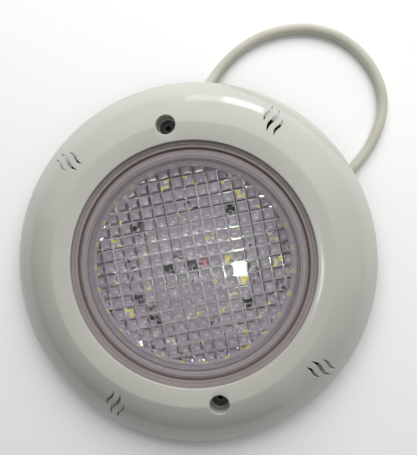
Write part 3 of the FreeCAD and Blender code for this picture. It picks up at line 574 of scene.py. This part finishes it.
# ---- lens: clear disc, grooved near its rim, with a field of crowned pyramids on its inner side
lensLook = {
    "name": "clear polycarbonate, injection-moulded",
    "colours": ("fbfafc", "f5f3f7"),
    "cloud": 30.0,
    "grain": 6.0,
    "depth": 0.01,
    "rough": (0.015, 0.04),
    "ior": 1.585,
    "clear": 1.0,
    "shadow": "eceaee",
    "radius": 86.0,
    "top": 39.5,
    "foot": 36.5,
    "skirt": (79.1, 80.7, 33.0),
    "groove": (82.38, 0.8, 0.8),
    "fieldRadius": 74.7,
    "pitch": 9.0,
    "valley": 36.35,
    "depthOfField": 2.4,
    "cells": 17,
    # places of the grid lines across half a cell, from its edge to its middle
    "halfCell": (0.0, 0.08, 0.17, 0.29, 0.5),
    "flat": 0.14,
    "crown": 1.45,
    "haze": [(75.0, 81.5, 0.28, "9a9598"), (81.5, 86.2, 0.62, "b0a7a8")],
}


def prismField(look):
    # a square field of cells, cut round afterwards. Every cell is flat in its middle and rises to its edges:
    # s runs from 0 at the flat to 1 at the edge, u and v from 0 at the middle to 1 at the edge,
    # and the depth is the field's depth x (1 - s ^ crown)
    across = np.array(look["halfCell"])
    across = np.concatenate([across, (1 - across[1:-1])[::-1]])
    parts = len(across)
    count = look["cells"] * parts
    line = (np.arange(look["cells"])[:, None] + across).ravel()
    line = (np.append(line, look["cells"]) - look["cells"] / 2) * look["pitch"]
    x, y = np.meshgrid(line, line, indexing="ij")
    u = np.abs((x / look["pitch"] + look["cells"] / 2) % 1 * 2 - 1)
    v = np.abs((y / look["pitch"] + look["cells"] / 2) % 1 * 2 - 1)
    s = np.clip((np.maximum(u, v) - look["flat"]) / (1 - look["flat"]), 0, 1)
    low = look["valley"] - look["depthOfField"] * (1 - s ** look["crown"])
    bottom = np.stack([x, y, low], -1).reshape(-1, 3)
    i, j = np.meshgrid(np.arange(count), np.arange(count), indexing="ij")
    corners = [i * (count + 1) + j, (i + 1) * (count + 1) + j, (i + 1) * (count + 1) + j + 1, i * (count + 1) + j + 1]
    # triangles meet along the diagonals that run out from a cell's middle
    rising = ((i % parts < parts // 2) == (j % parts < parts // 2))[..., None]
    a, b, c, d = (np.array(k)[..., None] for k in corners)
    one = np.where(rising, np.concatenate([a, b, c], -1), np.concatenate([a, b, d], -1))
    two = np.where(rising, np.concatenate([a, c, d], -1), np.concatenate([b, c, d], -1))
    faces = np.concatenate([one.reshape(-1, 3), two.reshape(-1, 3)]).tolist()
    # walls and lid close the field
    rim = [k * (count + 1) for k in range(count)] + [count * (count + 1) + k for k in range(count)]
    rim += [k * (count + 1) + count for k in range(count, 0, -1)] + [k for k in range(count, 0, -1)]
    base = len(bottom)
    lid = bottom[rim].copy()
    lid[:, 2] = look["foot"] + 1.0
    faces += [[rim[k], rim[(k + 1) % len(rim)], base + (k + 1) % len(rim), base + k] for k in range(len(rim))]
    faces.append([base + k for k in range(len(rim))])
    return solidFrom("prismField", np.concatenate([bottom, lid]), faces)


def lensPiece(look):
    grooveMiddle, grooveHalf, grooveDeep = look["groove"]
    skirtIn, skirtOut, skirtFoot = look["skirt"]
    foot, top, fieldRadius = look["foot"], look["top"], look["fieldRadius"]
    plate = lathe("lensClear", [
        (0, foot), (skirtIn, foot), (skirtIn, skirtFoot), (skirtOut, skirtFoot), (skirtOut, foot),
        (look["radius"], foot), (look["radius"], top - 0.3), (look["radius"] - 0.3, top),
        (grooveMiddle + grooveHalf, top), (grooveMiddle + grooveHalf * 0.6, top - grooveDeep),
        (grooveMiddle - grooveHalf * 0.6, top - grooveDeep), (grooveMiddle - grooveHalf, top), (0, top),
    ])
    edge = lathe("fieldEdge", [(0, 30), (fieldRadius, 30), (fieldRadius, foot + 0.7), (0, foot + 0.7)], 180)
    combine(plate, combine(prismField(look), edge, "INTERSECT"), "UNION")
    return dress(plate, "lamp", ["lens"], surface(look["name"], look), 16)


lensPiece(lensLook)


def sealPattern(tree, place, colour):
    # the bead is darker in a band next to the housing's wall
    return blendColours(tree, band(tree, place, *sealLook["wallBand"]), colour, paint(sealLook["wallBandColour"]))


sealLook = {
    "name": "neutral-cure silicone, hand-run bead",
    "colours": ("8f8382", "837776"),
    "pattern": sealPattern,
    "wallBand": (87.3, 89.2, 0.9),
    "wallBandColour": "54423f",
    "cloud": 7.0,
    "speck": "98908c",
    "speckSize": 0.9,
    "speckShare": 0.5,
    "speckFrom": 0.62,
    "grain": 1.4,
    "depth": 0.12,
    "rough": (0.2, 0.4),
    "inner": 86.05,
    "outer": 88.95,
    "foot": 36.5,
    "top": 38.4,
    "sag": (0.35, -0.25),
    # height, waves round the lens and phase
    "wander": ((0.05, 7, 1.1), (0.04, 19, 0.0), (0.03, 43, 0.6)),
    "steps": 480,
    "across": 7,
}


def sealBead(look):
    # the top of the bead sags between the two walls and wanders a little round the lens
    steps, across = look["steps"], look["across"]
    turn = np.arange(steps) * 2 * np.pi / steps
    share = np.linspace(0, 1, across)
    sag = look["sag"][0] * (2 * share - 1) ** 2 + look["sag"][1]
    wander = sum(high * np.sin(waves * turn + phase) for high, waves, phase in look["wander"])
    inner, outer = look["inner"], look["outer"]
    radius = np.concatenate([[inner, outer], (inner + (outer - inner) * share)[::-1]])
    top = look["top"] + sag[None, ::-1] + wander[:, None]
    height = np.concatenate([np.full((steps, 2), look["foot"]), top], 1)
    points = np.stack([np.outer(np.cos(turn), radius), np.outer(np.sin(turn), radius), height], -1)
    bead = solidFrom("lensSealantBead", points, gridFaces(steps, len(radius), True, True))
    return dress(bead, "lamp", ["lens_sealant"], surface(look["name"], look))


sealBead(sealLook)
print("lens and sealant made")

# ---- rear housing: pan, broad rim stepped for the lens, standoffs and the gland's boss
housingLook = {
    "name": "grey-white ABS housing, injection-moulded",
    "colours": ("948b8a", "8c8382"),
    "cloud": 40.0,
    "speck": "7d7473",
    "speckSize": 1.8,
    "speckShare": 0.2,
    "grain": 0.8,
    "depth": 0.006,
    "rough": (0.2, 0.32),
    "wall": 84.0,
    "cavity": 81.0,
    "back": 18.0,
    "floor": 20.6,
    "rim": (97.5, 34.2, 40.7),
    "step": (91.6, 39.9),
    "seat": (89.0, 36.5),
    "standoff": (50.0, 4.0, 24.4),
    "standoffTurns": [45, 135, 225, 315],
    "pilot": (1.5, 20.8),
    "glandAngle": 76.5,
    "glandLevel": 19.0,
    "boss": (10.0, 81.0, 93.0),
    "tap": (7.4, 86.0, 94.0),
    "chamber": (5.0, 79.0, 91.0),
}


def rod(name, radius, start, end, look, steps=48):
    # a rod along the gland's axis
    angle = math.radians(look["glandAngle"])
    turn = np.arange(steps) * 2 * np.pi / steps
    out = np.array([start, end])[:, None] + 0 * turn
    aside = radius * np.cos(turn) + 0 * out
    z = look["glandLevel"] + radius * np.sin(turn) + 0 * out
    x, y = out * math.cos(angle) - aside * math.sin(angle), out * math.sin(angle) + aside * math.cos(angle)
    points = np.stack([x, y, z], -1)
    faces = gridFaces(2, steps, False, True).tolist() + [list(range(steps)), list(range(steps, 2 * steps))]
    return solidFrom(name, points, faces)


def upright(name, x, y, radius, low, high, steps=32):
    return drum(name, (x, y), [(radius, low, 0), (radius, high, 0)], steps)


def rearHousing(look):
    rimOut, rimFoot, rimTop = look["rim"]
    stepOut, stepLevel = look["step"]
    seatOut, seatLevel = look["seat"]
    profile = [(0, look["back"])] + corner((look["wall"] - 1.2, look["back"] + 1.2), 1.2, -90, 0)
    profile += [(look["wall"], rimFoot)] + corner((rimOut - 0.5, rimFoot + 0.5), 0.5, -90, 0)
    profile += corner((rimOut - 0.4, rimTop - 0.4), 0.4, 0, 90)
    profile += corner((stepOut + 0.3, rimTop - 0.3), 0.3, 90, 180)
    profile += [(stepOut, stepLevel), (seatOut + 0.3, stepLevel), (seatOut, stepLevel - 0.3), (seatOut, seatLevel)]
    profile += [(look["cavity"], seatLevel), (look["cavity"], look["floor"]), (0, look["floor"])]
    pan = lathe("rearHousingShell", profile, 300)
    circle, postRadius, postTop = look["standoff"]
    spots = [(circle * math.cos(t), circle * math.sin(t)) for t in np.radians(look["standoffTurns"])]
    adds = [upright("post", x, y, postRadius, look["back"] + 1, postTop) for x, y in spots]
    adds.append(rod("boss", *look["boss"], look))
    combine(pan, joined("housingAdds", adds), "UNION")
    combine(pan, rod("tap", *look["tap"], look), "DIFFERENCE")
    combine(pan, rod("chamber", *look["chamber"], look), "DIFFERENCE")
    pilots = [upright("pilot", x, y, *look["pilot"], postTop + 2) for x, y in spots]
    combine(pan, joined("pilots", pilots), "DIFFERENCE")
    clean(pan)
    return dress(pan, "lamp", ["rear_housing"], surface(look["name"], look), 28)


rearHousing(housingLook)
print("housing made")


# ---- circuit board, what it carries and its leads
def boardPattern(tree, place, colour):
    # copper lies under the mask as broad plates with narrow gaps between them
    look = boardLook
    inputs = {"Vector": place, "Scale": 1 / (look["plate"] * mm), "Randomness": look["plateJitter"]}
    plates = addNode(tree, "ShaderNodeTexVoronoi", inputs, feature="DISTANCE_TO_EDGE")
    gap = remap(tree, plates.outputs["Distance"], 0.0, look["gap"], 1.0, 0.0)
    inputs = {"Vector": place, "Scale": look["printScale"], "Distortion": look["printWaver"]}
    rings = addNode(tree, "ShaderNodeTexWave", inputs, wave_type="RINGS", rings_direction="Z")
    printed = remap(tree, rings.outputs["Fac"], *look["printRange"], 0.0, look["printShare"])
    marked = blendColours(tree, gap, colour, paint(look["gapColour"]))
    return blendColours(tree, printed, marked, paint(look["printColour"]))


boardLook = {
    "name": "white solder mask on glass-epoxy board, screen-printed",
    "colours": ("989195", "8c868a"),
    # the white mask's colours are set grey, well below white, as painted shade for the dim light under the lens
    "cloud": 14.0,
    "speck": "8a808c",
    "speckSize": 1.2,
    "speckShare": 0.35,
    "grain": 0.6,
    "depth": 0.01,
    "rough": (0.32, 0.48),
    "pattern": boardPattern,
    "plate": 19.0,
    "plateJitter": 0.7,
    "gap": 0.035,
    "gapColour": "857f84",
    "printScale": 18.0,
    "printWaver": 0.6,
    "printRange": (0.93, 0.99),
    "printShare": 0.35,
    "printColour": "c6c1c5",
}
spreaderLook = {
    "name": "aluminium sheet, rolled",
    "colours": ("c6c7c8", "b3b4b6"),
    "cloud": 9.0,
    "grain": 0.4,
    "depth": 0.015,
    "rough": (0.3, 0.45),
    "metal": 1.0,
    "stretch": (1.0, 12.0, 1.0),
}
packageLook = {
    "name": "white LED package resin, moulded",
    "colours": ("e9e7df", "dcd9cf"),
    "cloud": 1.5,
    "grain": 0.1,
    "depth": 0.01,
    "rough": (0.3, 0.45),
}
phosphorLook = {
    "name": "yellow phosphor in silicone, cast",
    "colours": ("e2d816", "cfc20e"),
    "cloud": 0.6,
    "speck": "efe85a",
    "speckSize": 0.25,
    "speckShare": 0.5,
    "grain": 0.12,
    "depth": 0.02,
    "rough": (0.18, 0.3),
    "soft": 0.2,
    "softDepth": 0.4,
}
chipLook = {
    "name": "black epoxy package, moulded",
    "colours": ("17161a", "1f1e22"),
    "cloud": 2.0,
    "speck": "4a484c",
    "speckSize": 0.3,
    "speckShare": 0.3,
    "grain": 0.08,
    "depth": 0.012,
    "rough": (0.4, 0.6),
}
screwLook = {
    "name": "black-oxide steel screw, cold-headed",
    "colours": ("2b2a2c", "1d1c1e"),
    "cloud": 1.8,
    "grain": 0.2,
    "depth": 0.015,
    "rough": (0.28, 0.45),
    "metal": 0.7,
}
redLook = {
    "name": "red silicone wire sheath, extruded",
    "colours": ("a3141c", "8e1018"),
    "cloud": 3.0,
    "grain": 0.15,
    "depth": 0.01,
    "rough": (0.35, 0.5),
}
blackLook = {
    "name": "black silicone wire sheath, extruded",
    "colours": ("1b1a1b", "252325"),
    "cloud": 3.0,
    "grain": 0.15,
    "depth": 0.01,
    "rough": (0.35, 0.5),
}
solderLook = {
    "name": "tin solder, reflowed",
    "colours": ("c4c4c6", "a9a9ad"),
    "cloud": 1.2,
    "grain": 0.3,
    "depth": 0.03,
    "rough": (0.15, 0.35),
    "metal": 1.0,
}
smoothCopy("led_board", "lamp", boardLook)
smoothCopy("heat_spreader", "lamp", spreaderLook)
smoothCopy("led_packages", "lamp", packageLook)
smoothCopy("led_phosphors", "lamp", phosphorLook)
smoothCopy("driver_chips", "lamp", chipLook, 0.18)
smoothCopy("chip_resistors", "lamp", dict(chipLook, name="black glass-coated resistor, fired"), 0.08)
smoothCopy("edge_diodes", "lamp", dict(chipLook, name="black epoxy diode, moulded"), 0.12)
smoothCopy("bridge_rectifier", "lamp", dict(chipLook, name="black epoxy rectifier, moulded"), 0.3)
smoothCopy("board_screws", "lamp", screwLook, 0.1)
smoothCopy("lead_red", "lamp", redLook)
smoothCopy("lead_black", "lamp", blackLook)
smoothCopy("solder_joints", "lamp", solderLook)

# ---- gland and wall bracket
nylonLook = {
    "name": "grey nylon gland, injection-moulded",
    "colours": ("8e9192", "84878a"),
    "cloud": 12.0,
    "grain": 0.5,
    "depth": 0.02,
    "rough": (0.35, 0.5),
}
rubberLook = {
    "name": "black nitrile rubber, moulded",
    "colours": ("232324", "2d2c2d"),
    "cloud": 6.0,
    "grain": 0.4,
    "depth": 0.03,
    "rough": (0.55, 0.75),
}
pottingLook = {
    "name": "black potting epoxy, poured",
    "colours": ("1c1c1e", "242325"),
    "cloud": 5.0,
    "grain": 0.9,
    "depth": 0.02,
    "rough": (0.12, 0.25),
}
bracketLook = {
    "name": "dark grey ABS bracket, injection-moulded",
    "colours": ("5f6264", "57595c"),
    "cloud": 55.0,
    "speck": "7c7e80",
    "speckSize": 1.1,
    "speckShare": 0.25,
    "grain": 0.45,
    "depth": 0.03,
    "rough": (0.42, 0.55),
}
insertLook = {
    "name": "stainless steel insert, turned",
    "colours": ("6f7273", "606364"),
    "cloud": 4.0,
    "grain": 0.3,
    "depth": 0.02,
    "rough": (0.25, 0.4),
    "metal": 1.0,
}
smoothCopy("gland_body", "lamp", nylonLook, 0.25)
smoothCopy("gland_nut", "lamp", dict(nylonLook, name="grey nylon gland nut, injection-moulded"), 0.25)
smoothCopy("gland_washer", "lamp", rubberLook, 0.1)
smoothCopy("gland_seal", "lamp", dict(rubberLook, name="black nitrile rubber bush, moulded"), 0.1)
smoothCopy("cord_potting", "lamp", pottingLook)
smoothCopy("cord_entry", "lamp", dict(cordLook, name="PVC cord jacket in the gland, extruded"))
smoothCopy("wall_bracket", "bracket", bracketLook, 0.35)
smoothCopy("bracket_inserts", "bracket", insertLook, 0.12)
print("small pieces made")

# ---- floor and light
floorLook = {
    "name": "pale painted board, rolled",
    "colours": ("fbfbfa", "f8f8f7"),
    "cloud": 900.0,
    "grain": 6.0,
    "depth": 0.05,
    "rough": (0.7, 0.85),
    "size": 8000.0,
    "level": -0.3,
}
half = floorLook["size"] / 2
corners = [(x * half, y * half, floorLook["level"]) for x, y in ((-1, -1), (1, -1), (1, 1), (-1, 1))]
floor = solidFrom("floor", corners, [(0, 1, 2, 3)])
floor.data.materials.append(surface(floorLook["name"], floorLook))
# metres: a lamp's height counts from the lens, its aim lies just under it
faceLevel, lampAim, asideFrom = 0.04, 0.03, 0.5
# directions as seen in the picture: up towards the cord's side, right towards the loop
imageUp = Vector(cameraLook["up"]).normalized()
imageRight = imageUp.cross(Vector((0, 0, 1)))
lamps = [
    {
        "name": "softbox", "up": 0.95, "right": 0.16, "high": 0.95, "size": (1.7, 1.0),
        "radiance": 3.5, "colour": (1.0, 0.995, 0.985), "mirrored": False,
    },
    {
        "name": "windowLeft", "up": 1.5, "right": -0.02, "high": 0.15, "size": (0.34, 0.3),
        "radiance": 2.2, "colour": (0.93, 0.97, 1.0),
    },
    {
        "name": "windowRight", "up": 1.5, "right": 0.38, "high": 0.15, "size": (0.44, 0.3),
        "radiance": 7.0, "colour": (0.93, 0.97, 1.0),
    },
    {
        "name": "spot", "up": -0.112, "right": 0.037, "high": 1.2, "size": (0.042, 0.042),
        "radiance": 20.0, "colour": (0.74, 1.0, 0.7),
    },
]
for entry in lamps:
    data = bpy.data.lights.new(entry["name"], "AREA")
    data.shape = "RECTANGLE"
    data.size, data.size_y = entry["size"]
    data.color = entry["colour"]
    data.energy = entry["radiance"] * math.pi * entry["size"][0] * entry["size"][1]
    lamp = bpy.data.objects.new(entry["name"], data)
    scene.collection.objects.link(lamp)
    place = imageUp * entry["up"] + imageRight * entry["right"] + Vector((0, 0, entry["high"] + faceLevel))
    # a lamp that stands to the side keeps its sides upright
    aside = abs(entry["up"]) > asideFrom
    lamp.matrix_world = facing(place, (0, 0, lampAim), (0, 0, 1) if aside else imageUp)
    lamp.visible_camera = False
    lamp.visible_glossy = entry.get("mirrored", True)
# a dark curved card on the viewer's side keeps the near flank of the dome in shade
cardLook = {
    "name": "black cotton velvet, woven",
    "colours": ("1d1d1e", "161617"),
    "cloud": 200.0,
    "grain": 3.0,
    "depth": 0.3,
    "rough": (0.85, 0.95),
    "radius": 850.0,
    # radius of the dark mat under the lamp, which is painted shade
    "shadeMat": 132.0,
    "shadeMatLevels": (-0.25, -0.1),
    "low": 10.0,
    "high": 620.0,
    "middle": 222.0,
    "spread": 64.0,
    "steps": 41,
}
turn = np.radians(cardLook["middle"] + np.linspace(-cardLook["spread"], cardLook["spread"], cardLook["steps"]))
edge = np.stack([cardLook["radius"] * np.cos(turn), cardLook["radius"] * np.sin(turn)], -1)
points = np.concatenate([np.insert(edge, 2, cardLook[end], 1) for end in ("low", "high")])
card = solidFrom("darkCard", points, gridFaces(2, cardLook["steps"], False, False))
card.data.materials.append(surface(cardLook["name"], cardLook))
card.visible_camera = False
# a mat of the same dark cloth lies under the lamp as painted shade, so the vent slots look into the dark
shadeMat = drum("shadeStandInMat", (0, 0), [(cardLook["shadeMat"], level, 0) for level in cardLook["shadeMatLevels"]], 96)
shadeMat.data.materials.append(card.data.materials[0])
worldLook = {"colour": (0.96, 0.98, 1.0, 1.0), "strength": 0.4}
world = bpy.data.worlds.new("studio")
world.use_nodes = True
scene.world = world
back = world.node_tree.nodes["Background"]
back.inputs["Color"].default_value = worldLook["colour"]
back.inputs["Strength"].default_value = worldLook["strength"]
print("light set")
